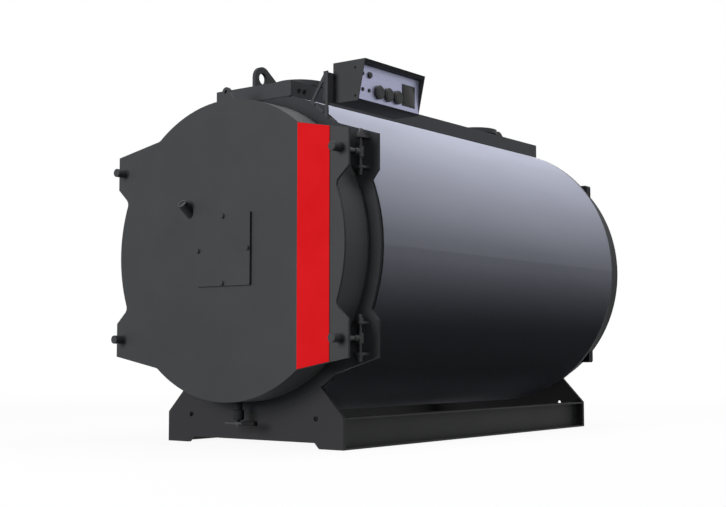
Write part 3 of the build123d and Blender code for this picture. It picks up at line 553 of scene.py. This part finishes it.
# Tube ends welded into the front plate, seen when the door is open
tubeRing = {"radius": 0.4725, "count": 24, "tubeMm": 38, "beadMm": 3.2}
tubeAngles = [2 * math.pi * i / tubeRing["count"] for i in range(tubeRing["count"])]
ringProfile = [(tubeRing["tubeMm"] + tubeRing["beadMm"] * math.cos(a), tubeRing["beadMm"] * math.sin(a))
               for a in [math.pi * k / 6 for k in range(7)]]
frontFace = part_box("front_plate")[0][1]
tubePlaces = [((tubeRing["radius"] * math.cos(a), frontFace, axisZ + tubeRing["radius"] * math.sin(a)), facingFront)
              for a in tubeAngles]
spreadPiece("tubeEndWelds", meshFrom("tubeEndWeld", (ringProfile, 28)), tubePlaces, millPlate, "boiler")

# Lap seam of the jacket, low on the left, with a row of rivets on each side of its middle
seam = {"angle": 205, "sheet": 0.695, "inner": 0.6948, "outer": 0.6963, "steps": 9, "step": 0.006, "ends": 0.001,
        "rivets": 19, "rivetRow": 0.012, "rivetRing": 0.6962, "rivetEnds": 0.06}
jacketLow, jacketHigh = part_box("jacket")
seamAngle = math.radians(seam["angle"])
seamTurn = (0, math.radians(90) - seamAngle, 0)
rivetDome = [(0, 2.4), (2.2, 2.1), (3.8, 1.1), (4.4, 0), (0, 0)]
rivetSpan = jacketHigh[1] - jacketLow[1] - 2 * seam["rivetEnds"]
rivetPlaces = []
for row in (-seam["rivetRow"], seam["rivetRow"]):
    angle = seamAngle + row / seam["sheet"]
    x, z = seam["rivetRing"] * math.cos(angle), axisZ + seam["rivetRing"] * math.sin(angle)
    for i in range(seam["rivets"]):
        y = jacketLow[1] + seam["rivetEnds"] + i * rivetSpan / (seam["rivets"] - 1)
        rivetPlaces.append(((x, y, z), seamTurn))
spreadPiece("jacketRivets", meshFrom("jacketRivet", (rivetDome, 14)), rivetPlaces,
            silverSheet, "boiler")


# a thin strip bent to the jacket's round, over its whole length
def seamStrip(look):
    mesh = bpy.data.meshes.new("jacketSeam")
    shape = bmesh.new()
    rows = []
    for k in range(look["steps"]):
        angle = seamAngle + (k - look["steps"] // 2) * look["step"] / look["sheet"]
        for radius in (look["inner"], look["outer"]):
            rows.append([shape.verts.new((radius * math.cos(angle), y, axisZ + radius * math.sin(angle)))
                         for y in (jacketLow[1] + look["ends"], jacketHigh[1] - look["ends"])])
    outer, inner = rows[1::2], rows[0::2]
    for first, second in zip(outer, outer[1:]):
        shape.faces.new((first[0], first[1], second[1], second[0]))
    for first, second in zip(inner, inner[1:]):
        shape.faces.new((first[1], first[0], second[0], second[1]))
    for edge in (0, -1):
        shape.faces.new((outer[edge][0], outer[edge][1], inner[edge][1], inner[edge][0]))
    for end in (0, 1):
        shape.faces.new([row[end] for row in outer] + [row[end] for row in inner][::-1])
    bmesh.ops.recalc_face_normals(shape, faces=shape.faces)
    shape.to_mesh(mesh)
    shape.free()
    return mesh


finishPiece("jacketSeam", seamStrip(seam), silverSheet, "boiler")
print("jacket seam and tube ends done")


def circlePath(middle, radius, count, across):
    return [Vector(middle) + across[0] * radius * math.cos(2 * math.pi * i / count)
            + across[1] * radius * math.sin(2 * math.pi * i / count) for i in range(count)]


acrossBoiler = (Vector((1, 0, 0)), Vector((0, 0, 1)))
level = (Vector((1, 0, 0)), Vector((0, 1, 0)))

# Weld beads: their bar, how far its middle stands off the face, and where each one runs
bead = {"radius": 0.0042, "step": 0.009, "ripple": 0.16, "sides": 6}
weld = {"standOff": 0.001, "pipe": 0.0712, "flue": 0.1512, "smokeBox": 0.6562, "lugLift": 0.062, "lugFace": 0.0055,
        "lugHalf": 0.019, "channelX": 0.4575, "channelEnds": (0.012, 0.118)}
pipeWelds = []
for stub in ("flow", "return"):
    flangeMiddle = middleOf(stub + "_flange")
    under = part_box(stub + "_flange")[0][2]
    weldMiddle = (flangeMiddle.x, flangeMiddle.y, under - weld["standOff"])
    pipeWelds.append((circlePath(weldMiddle, weld["pipe"], 60, level), True))
routePiece("flangeWelds", pipeWelds, bead, bodyGrey, "boiler")
flueMiddle = middleOf("flue_spigot")
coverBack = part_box("smoke_cover")[1][1]
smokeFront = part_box("smoke_box")[0][1]
flueFoot = (flueMiddle.x, coverBack + weld["standOff"], flueMiddle.z)
smokeFoot = (smokeAxis.x, smokeFront + weld["standOff"], smokeAxis.z)
rearWelds = [(circlePath(flueFoot, weld["flue"], 90, acrossBoiler), True),
             (circlePath(smokeFoot, weld["smokeBox"], 220, acrossBoiler), True)]
routePiece("smokeBoxWelds", rearWelds, bead, bodyGrey, "boiler")

# Hinge lugs welded to the front plate along both faces
lugWelds = []
for x, z in rodMiddles:
    for lift in (-weld["lugLift"], weld["lugLift"]):
        for face in (-weld["lugFace"], weld["lugFace"]):
            ends = [(x + half, frontFace - weld["standOff"], z + lift + face)
                    for half in (-weld["lugHalf"], weld["lugHalf"])]
            lugWelds.append((ends, False))
routePiece("lugWelds", lugWelds, bead, bodyGrey, "boiler")

# Channel webs welded to the inner faces of both end plates
baseWelds = []
for name in ("base_front_plate", "base_rear_plate"):
    low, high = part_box(name)
    y = high[1] + weld["standOff"] if name == "base_front_plate" else low[1] - weld["standOff"]
    for x in (-weld["channelX"], weld["channelX"]):
        baseWelds.append(([(x, y, z) for z in weld["channelEnds"]], False))
routePiece("channelWelds", baseWelds, bead, baseGrey, "boiler")
print("welds laid")

# Black edge trim on the front end of the jacket sheet
trim = {"ring": 0.6937, "points": 240, "proud": 0.0004, "radius": 0.0011, "step": 0.018, "ripple": 0.0, "sides": 8}
trimRoute = circlePath((0, jacketLow[1] - trim["proud"], axisZ), trim["ring"], trim["points"], acrossBoiler)
routePiece("jacketEdgeTrim", [(trimRoute, True)], trim, blackRubber, "boiler")

# Panel fittings in millimetres: dial caps, each dial's pointer and the display's glass
panelFit = {"capRadius": 21, "capHeight": 1.4, "capSink": 0.3, "capRound": 0.8, "pointerReach": 24.6,
            "pointer": (0.4, 0.8, 2.6), "pointerRound": 0.2, "glassInset": 7, "glassHalf": 0.6, "glassRound": 0.4}


# blocks with rounded edges: a block is its middle in metres and its half sizes in millimetres
def blockMesh(name, blocks, bevelMm):
    shape = bmesh.new()
    for middle, half in blocks:
        corners = bmesh.ops.create_cube(shape, size=2.0)["verts"]
        for corner in corners:
            reach = Vector((corner.co.x * half[0], corner.co.y * half[1], corner.co.z * half[2]))
            corner.co = Vector(middle) + reach * mm
    bmesh.ops.bevel(shape, geom=list(shape.edges), offset=bevelMm * mm, segments=2, affect="EDGES", profile=0.6)
    bmesh.ops.recalc_face_normals(shape, faces=shape.faces)
    mesh = bpy.data.meshes.new(name)
    shape.to_mesh(mesh)
    shape.free()
    return mesh


capProfile = [(0, -panelFit["capSink"]), (panelFit["capRadius"], -panelFit["capSink"]),
              (panelFit["capRadius"], panelFit["capHeight"] - panelFit["capRound"]),
              (panelFit["capRadius"] - panelFit["capRound"], panelFit["capHeight"]), (0, panelFit["capHeight"])]
for index in (1, 2, 3):
    dial, body = "panel_dial_%d" % index, "dial_%d" % index
    dialMiddle, dialFront = middleOf(dial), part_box(dial)[1][0]
    capPlace = [((dialFront, dialMiddle.y, dialMiddle.z), facingRight)]
    spreadPiece("dialCap%d" % index, meshFrom("dialCap", (capProfile, 48)), capPlace, panelBlack, body)
    pointerMiddle = (dialFront, dialMiddle.y, dialMiddle.z + panelFit["pointerReach"] * mm)
    pointer = blockMesh("dialPointer%d" % index, [(pointerMiddle, panelFit["pointer"])], panelFit["pointerRound"])
    finishPiece("dialPointer%d" % index, pointer, paleInk, body)

displayLow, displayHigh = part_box("panel_display")
displayMiddle = middleOf("panel_display")
displayHalf = (displayHigh[1] - displayLow[1]) / 2 / mm - panelFit["glassInset"]
glassBlock = ((displayHigh[0], displayMiddle.y, displayMiddle.z), (panelFit["glassHalf"], displayHalf, displayHalf))
displayGlass = blockMesh("displayGlass", [glassBlock], panelFit["glassRound"])
finishPiece("displayGlass", displayGlass, screenGlass, "boiler")

# Rings with rounded shoulders round the lamps and the button, placed along and up the face, in millimetres
bezels = {
    "lampBezels": {"inner": 6.1, "wide": 2.4, "tall": 3.0, "places": ((-193, 36), (-193, -31), (-149, -30))},
    "buttonBezel": {"inner": 12.1, "wide": 2.2, "tall": 4.5, "places": ((-148, 35),)},
}
bezelEdge = {"shoulder": 0.8, "lipIn": 0.3, "lipDown": 0.4, "sink": 0.6}
faceMiddle = middleOf("panel_face")
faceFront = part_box("panel_face")[1][0]


def bezelMesh(name, look):
    inner, outer, tall = look["inner"], look["inner"] + look["wide"], look["tall"]
    profile = [(inner, 0), (outer, 0), (outer, tall - bezelEdge["shoulder"]), (outer - bezelEdge["shoulder"], tall),
               (inner + bezelEdge["lipIn"], tall), (inner, tall - bezelEdge["lipDown"]), (inner, 0)]
    return meshFrom(name, (profile, 32))


bezelX = faceFront - bezelEdge["sink"] * mm
for name, look in bezels.items():
    bezelPlaces = [((bezelX, faceMiddle.y + along * mm, faceMiddle.z + up * mm), facingRight)
                   for along, up in look["places"]]
    spreadPiece(name, bezelMesh(name + "Ring", look), bezelPlaces, panelBlack, "boiler")

# Black sheet under the box, up to where its sloped front begins: painted shade that keeps the underside dark
undersideShadeSheet = {"front": 0.536, "inset": 4.0, "half": 0.8, "round": 0.4}
shadeSheetMiddle = ((panelLow[0] + undersideShadeSheet["front"]) / 2, (panelLow[1] + panelHigh[1]) / 2,
               panelLow[2] - undersideShadeSheet["half"] * mm)
shadeSheetHalf = ((undersideShadeSheet["front"] - panelLow[0]) / 2 / mm - undersideShadeSheet["inset"],
             (panelHigh[1] - panelLow[1]) / 2 / mm - undersideShadeSheet["inset"], undersideShadeSheet["half"])
finishPiece("panelBottomCover", blockMesh("panelBottomCover", [(shadeSheetMiddle, shadeSheetHalf)], undersideShadeSheet["round"]),
            blackRubber, "boiler")
print("panel fitted")

# Rubber grommets in the platform's right skirt
grommet = {"z": 1.520, "along": (-1.0046, -0.9676)}
grommetProfile = [(0, 0.5), (5.6, 0.5), (6.4, 2.6), (8.0, 3.6), (9.6, 2.8), (10.0, 0), (0, 0)]
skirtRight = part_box("platform")[1][0]
grommetPlaces = [((skirtRight, y, grommet["z"]), facingRight) for y in grommet["along"]]
spreadPiece("skirtGrommets", meshFrom("skirtGrommet", (grommetProfile, 24)), grommetPlaces,
            blackRubber, "boiler")

# Rubber edging under both skirts, down to the jacket
edging = {"halfWide": 3.5, "halfTall": 3.6, "proud": 1.0, "lift": 1.0, "ends": 0.5, "round": 1.2}
platformLow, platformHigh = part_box("platform")
edgingHalf = (edging["halfWide"], (jacketHigh[1] - jacketLow[1]) / 2 / mm - edging["ends"], edging["halfTall"])
edgingMiddle = ((jacketLow[1] + jacketHigh[1]) / 2, platformLow[2] - (edging["halfTall"] - edging["lift"]) * mm)
edgingX = skirtRight - (edging["halfWide"] - edging["proud"]) * mm
edgingBlocks = [((side * edgingX, *edgingMiddle), edgingHalf) for side in (-1, 1)]
finishPiece("skirtEdging", blockMesh("skirtEdging", edgingBlocks, edging["round"]),
            blackRubber, "boiler")

# Tread bars pressed in the platform's top, laid crosswise in turn, clear of the flanges and the lugs
tread = {"pitchX": 0.036, "pitchY": 0.042, "margin": 0.03, "flangeClear": 0.14, "lugClear": 0.022, "lugEnds": 0.02,
         "stretch": 4.0, "turn": 45}
flangeMiddles = [middleOf("flow_flange"), middleOf("return_flange")]
lugRanges = [(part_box(name)[0][1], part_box(name)[1][1]) for name in ("lifting_lug_front", "lifting_lug_rear")]
barHalf = [(0, 1.5), (2.0, 1.3), (3.0, 0.6), (3.3, 0)]
barMesh = meshFrom("treadBar", (barHalf, 8), place=Matrix.Diagonal((tread["stretch"], 1.0, 1.0, 1.0)))
treadPlaces = []
columns = int((platformHigh[0] - platformLow[0] - 2 * tread["margin"]) / tread["pitchX"])
rows = int((platformHigh[1] - platformLow[1] - 2 * tread["margin"]) / tread["pitchY"])
for i in range(columns + 1):
    for j in range(rows + 1):
        x = (i - columns / 2) * tread["pitchX"]
        y = (platformLow[1] + platformHigh[1]) / 2 + (j - rows / 2) * tread["pitchY"]
        clear = all(math.hypot(x - middle.x, y - middle.y) > tread["flangeClear"] for middle in flangeMiddles)
        byLug = any(low - tread["lugEnds"] < y < high + tread["lugEnds"] for low, high in lugRanges)
        if clear and not (byLug and abs(x) < tread["lugClear"]):
            turn = tread["turn"] if (i + j) % 2 else -tread["turn"]
            treadPlaces.append(((x, y, platformHigh[2]), (0, 0, math.radians(turn))))
spreadPiece("treadBars", barMesh, treadPlaces, bodyGrey, "boiler")
print("platform treads:", len(treadPlaces))

# Dipped grip on the lever's right arm, and the nut under its hub
leverGrip = {"start": 26, "end": 100, "halfWide": 14.5, "halfTall": 11.5, "round": 8.0}
leverMiddle = middleOf("drain_lever")
hub = middleOf("drain_valve")
gripMiddle = (hub.x + (leverGrip["start"] + leverGrip["end"]) / 2 * mm, hub.y, leverMiddle.z)
gripHalf = ((leverGrip["end"] - leverGrip["start"]) / 2, leverGrip["halfWide"], leverGrip["halfTall"])
finishPiece("leverGrip", blockMesh("leverGrip", [(gripMiddle, gripHalf)], leverGrip["round"]),
            blackRubber, "drain_lever")
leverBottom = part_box("drain_lever")[0][2]
spreadPiece("leverNut", hexMesh("leverNut", hexBolt), [((hub.x, hub.y, leverBottom), downward)],
            platedSteel, "drain_lever", size=0.9)

# Cleaning hatch low on the smoke box cover, with a bent bar handle
hatch = {"z": 0.455, "boltRing": 0.114, "bolts": 8, "radiusMm": 132, "thickMm": 9, "roundMm": 1.5}
hatchProfile = [(0, 0), (hatch["radiusMm"], 0), (hatch["radiusMm"], hatch["thickMm"] - hatch["roundMm"]),
                (hatch["radiusMm"] - hatch["roundMm"], hatch["thickMm"]), (0, hatch["thickMm"])]
hatchPlace = [((0, coverBack, hatch["z"]), facingBack)]
spreadPiece("cleaningHatch", meshFrom("hatchDisc", (hatchProfile, 72)), hatchPlace, coverGrey, "boiler")
hatchFace = coverBack + hatch["thickMm"] * mm
boltAngles = [2 * math.pi * i / hatch["bolts"] for i in range(hatch["bolts"])]
hatchBolts = [((hatch["boltRing"] * math.cos(a), hatchFace, hatch["z"] + hatch["boltRing"] * math.sin(a)), facingBack)
              for a in boltAngles]
spreadPiece("hatchBolts", hexMesh("hatchBolt", hexBolt), hatchBolts, coverGrey, "boiler", size=0.9)

# Handle bent from round bar: out of the hatch, round a corner, across and back
handle = {"half": 0.055, "reach": 0.042, "bend": 0.014, "root": 0.002,
          "radius": 0.0062, "step": 0.003, "ripple": 0.0, "sides": 14}


def handleRoute(look):
    side, top = look["half"] - look["bend"], look["reach"] - look["bend"]
    bend = [math.radians(15 * k) for k in range(7)]
    route = [(-look["half"], -look["root"])]
    route += [(-side - look["bend"] * math.cos(a), top + look["bend"] * math.sin(a)) for a in bend]
    route += [(side + look["bend"] * math.sin(a), top + look["bend"] * math.cos(a)) for a in bend]
    route.append((look["half"], -look["root"]))
    return [(x, hatchFace + out, hatch["z"]) for x, out in route]


routePiece("hatchHandle", [(handleRoute(handle), False)], handle, coverGrey, "boiler")
print("rear hatch and drain details done")

# Graphited rope in the door's edge: three strands twisted round a ring
rope = {"strands": 3, "ring": 0.635, "offset": 0.0024, "stretch": 1.55, "turns": 62, "points": 1488,
        "radius": 0.0028, "step": 0.0042, "ripple": 0.0, "sides": 6}


def strandRoute(look, strand):
    middle = middleOf("door_seal")
    route = []
    for i in range(look["points"]):
        angle = 2 * math.pi * i / look["points"]
        twist = look["turns"] * angle + 2 * math.pi * strand / look["strands"]
        radius = look["ring"] + look["offset"] * math.cos(twist)
        lift = look["offset"] * look["stretch"] * math.sin(twist)
        route.append((radius * math.cos(angle), middle.y + lift, middle.z + radius * math.sin(angle)))
    return route


strands = [(strandRoute(rope, strand), True) for strand in range(rope["strands"])]
sealRope = routePiece("sealRope", strands, rope, ropeGlass, "door")
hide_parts("door_seal")
print("seal rope twisted")

# Floor and studio: white to the camera, dim to bounced light so that the underside stays dark
studio = {"floorSize": 60.0, "floorShade": "#101010", "floorPale": "#f2f2f2", "ambient": 0.075,
          "shadowNear": 2.5, "shadowFar": 7.0, "glowNear": 0.93}
lamps = {
    "topLight": {"power": 255.0, "size": 4.0, "place": (1.5, 0.2, 5.5), "aim": (0.6, 0.2, 0)},
    "frontLight": {"power": 300.0, "size": 2.5, "place": (-0.3, -6.5, 1.8), "aim": (0, -1.2, 0.8)},
    "hingeFill": {"power": 60.0, "size": 1.5, "place": (4.2, -4.6, 0.9), "aim": (0.6, -1.1, 0.83)},
    "backLight": {"power": 240.0, "size": 4.0, "place": (-3.6, 6.4, 2.4), "aim": (0, 0.6, 0.8)},
}


# 1 for the rays that show the studio to the eye: straight, mirrored or through glass
def seenRays(tree):
    rays = addNode(tree, "ShaderNodeLightPath")
    plain = addNode(tree, "ShaderNodeMath", {"operation": "ADD"},
                    {0: rays.outputs["Is Camera Ray"], 1: rays.outputs["Is Glossy Ray"]})
    seen = addNode(tree, "ShaderNodeMath", {"operation": "ADD", "use_clamp": True},
                   {0: plain.outputs[0], 1: rays.outputs["Is Transmission Ray"]})
    return seen.outputs[0]


def studioFloor(look):
    mesh = bpy.data.meshes.new("floor")
    half = look["floorSize"] / 2
    mesh.from_pydata([(-half, -half, 0), (half, -half, 0), (half, half, 0), (-half, half, 0)], [], [(0, 1, 2, 3)])
    floor = bpy.data.objects.new("floor", mesh)
    bpy.context.collection.objects.link(floor)
    material = bpy.data.materials.new("paleFloor")
    material.use_nodes = True
    tree = material.node_tree
    tree.nodes.clear()
    seen = seenRays(tree)
    dim = addNode(tree, "ShaderNodeBsdfDiffuse", {"Color": linear(look["floorShade"])})
    pale = addNode(tree, "ShaderNodeBsdfDiffuse", {"Color": linear(look["floorPale"])})
    glow = addNode(tree, "ShaderNodeEmission", {"Color": (1, 1, 1, 1), "Strength": 1.0})
    place = addNode(tree, "ShaderNodeTexCoord").outputs["Object"]
    away = addNode(tree, "ShaderNodeVectorMath", {"operation": "LENGTH"}, {0: place})
    fade = {"interpolation_type": "SMOOTHSTEP", "From Min": look["shadowNear"], "From Max": look["shadowFar"],
            "To Min": look["glowNear"], "To Max": 1.0}
    share = addNode(tree, "ShaderNodeMapRange", fade, {"Value": away.outputs["Value"]})
    white = addNode(tree, "ShaderNodeMixShader", {},
                    {"Fac": share.outputs["Result"], 1: pale.outputs[0], 2: glow.outputs[0]})
    both = addNode(tree, "ShaderNodeMixShader", {}, {"Fac": seen, 1: dim.outputs[0], 2: white.outputs[0]})
    addNode(tree, "ShaderNodeOutputMaterial", links={"Surface": both.outputs[0]})
    mesh.materials.append(material)


def studioWorld(look):
    world = bpy.data.worlds.new("studio")
    bpy.context.scene.world = world
    world.use_nodes = True
    tree = world.node_tree
    tree.nodes.clear()
    seen = seenRays(tree)
    dim = addNode(tree, "ShaderNodeBackground", {"Color": (1, 1, 1, 1), "Strength": look["ambient"]})
    white = addNode(tree, "ShaderNodeBackground", {"Color": (1, 1, 1, 1), "Strength": 1.0})
    both = addNode(tree, "ShaderNodeMixShader", {}, {"Fac": seen, 1: dim.outputs[0], 2: white.outputs[0]})
    addNode(tree, "ShaderNodeOutputWorld", links={"Surface": both.outputs[0]})


def areaLight(name, look):
    lamp = bpy.data.lights.new(name, "AREA")
    lamp.energy, lamp.size = look["power"], look["size"]
    holder = bpy.data.objects.new(name, lamp)
    holder.location = look["place"]
    holder.rotation_euler = (Vector(look["aim"]) - Vector(look["place"])).to_track_quat("-Z", "Y").to_euler()
    bpy.context.collection.objects.link(holder)
    return holder


studioFloor(studio)
studioWorld(studio)
lights = {name: areaLight(name, look) for name, look in lamps.items()}

# The panel takes no top light from the jacket close under it, which the photograph shows evenly lit
panelShade = bpy.data.collections.new("panelShade")
for name in ("panel_box", "panel_bracket", "panel_face", "panel_display", "panel_buttons",
             "panel_dial_1", "panel_dial_2", "panel_dial_3"):
    panelShade.objects.link(nodes[name])
for name in ("panelBottomCover", "displayGlass", "lampBezels", "buttonBezel", "dialCap1", "dialCap2", "dialCap3"):
    panelShade.objects.link(bpy.data.objects[name])
lights["topLight"].light_linking.blocker_collection = panelShade
for member in panelShade.collection_objects:
    member.light_linking.link_state = "EXCLUDE"

# A weak fill, flagged off the rest, opens the gap between door and front plate
hingeGap = bpy.data.collections.new("hingeGap")
for name in ("door_rim", "front_plate"):
    hingeGap.objects.link(nodes[name])
lights["hingeFill"].light_linking.receiver_collection = hingeGap

# Camera solved from the photograph: 37 degrees round to the right, low, looking slightly up
cameraView = {"place": (3.6279, -5.0701, 0.3952), "azimuth": 37.02, "pitch": 4.54, "lens": 61.89,
              "sensor": 36.0}
cameraData = bpy.data.cameras.new("camera")
cameraData.lens, cameraData.sensor_width = cameraView["lens"], cameraView["sensor"]
camera = bpy.data.objects.new("camera", cameraData)
camera.location = cameraView["place"]
camera.rotation_euler = (math.radians(90 + cameraView["pitch"]), 0, math.radians(cameraView["azimuth"]))
bpy.context.collection.objects.link(camera)
bpy.context.scene.camera = camera
bpy.context.scene.view_settings.view_transform = "Standard"
print("studio and camera set")
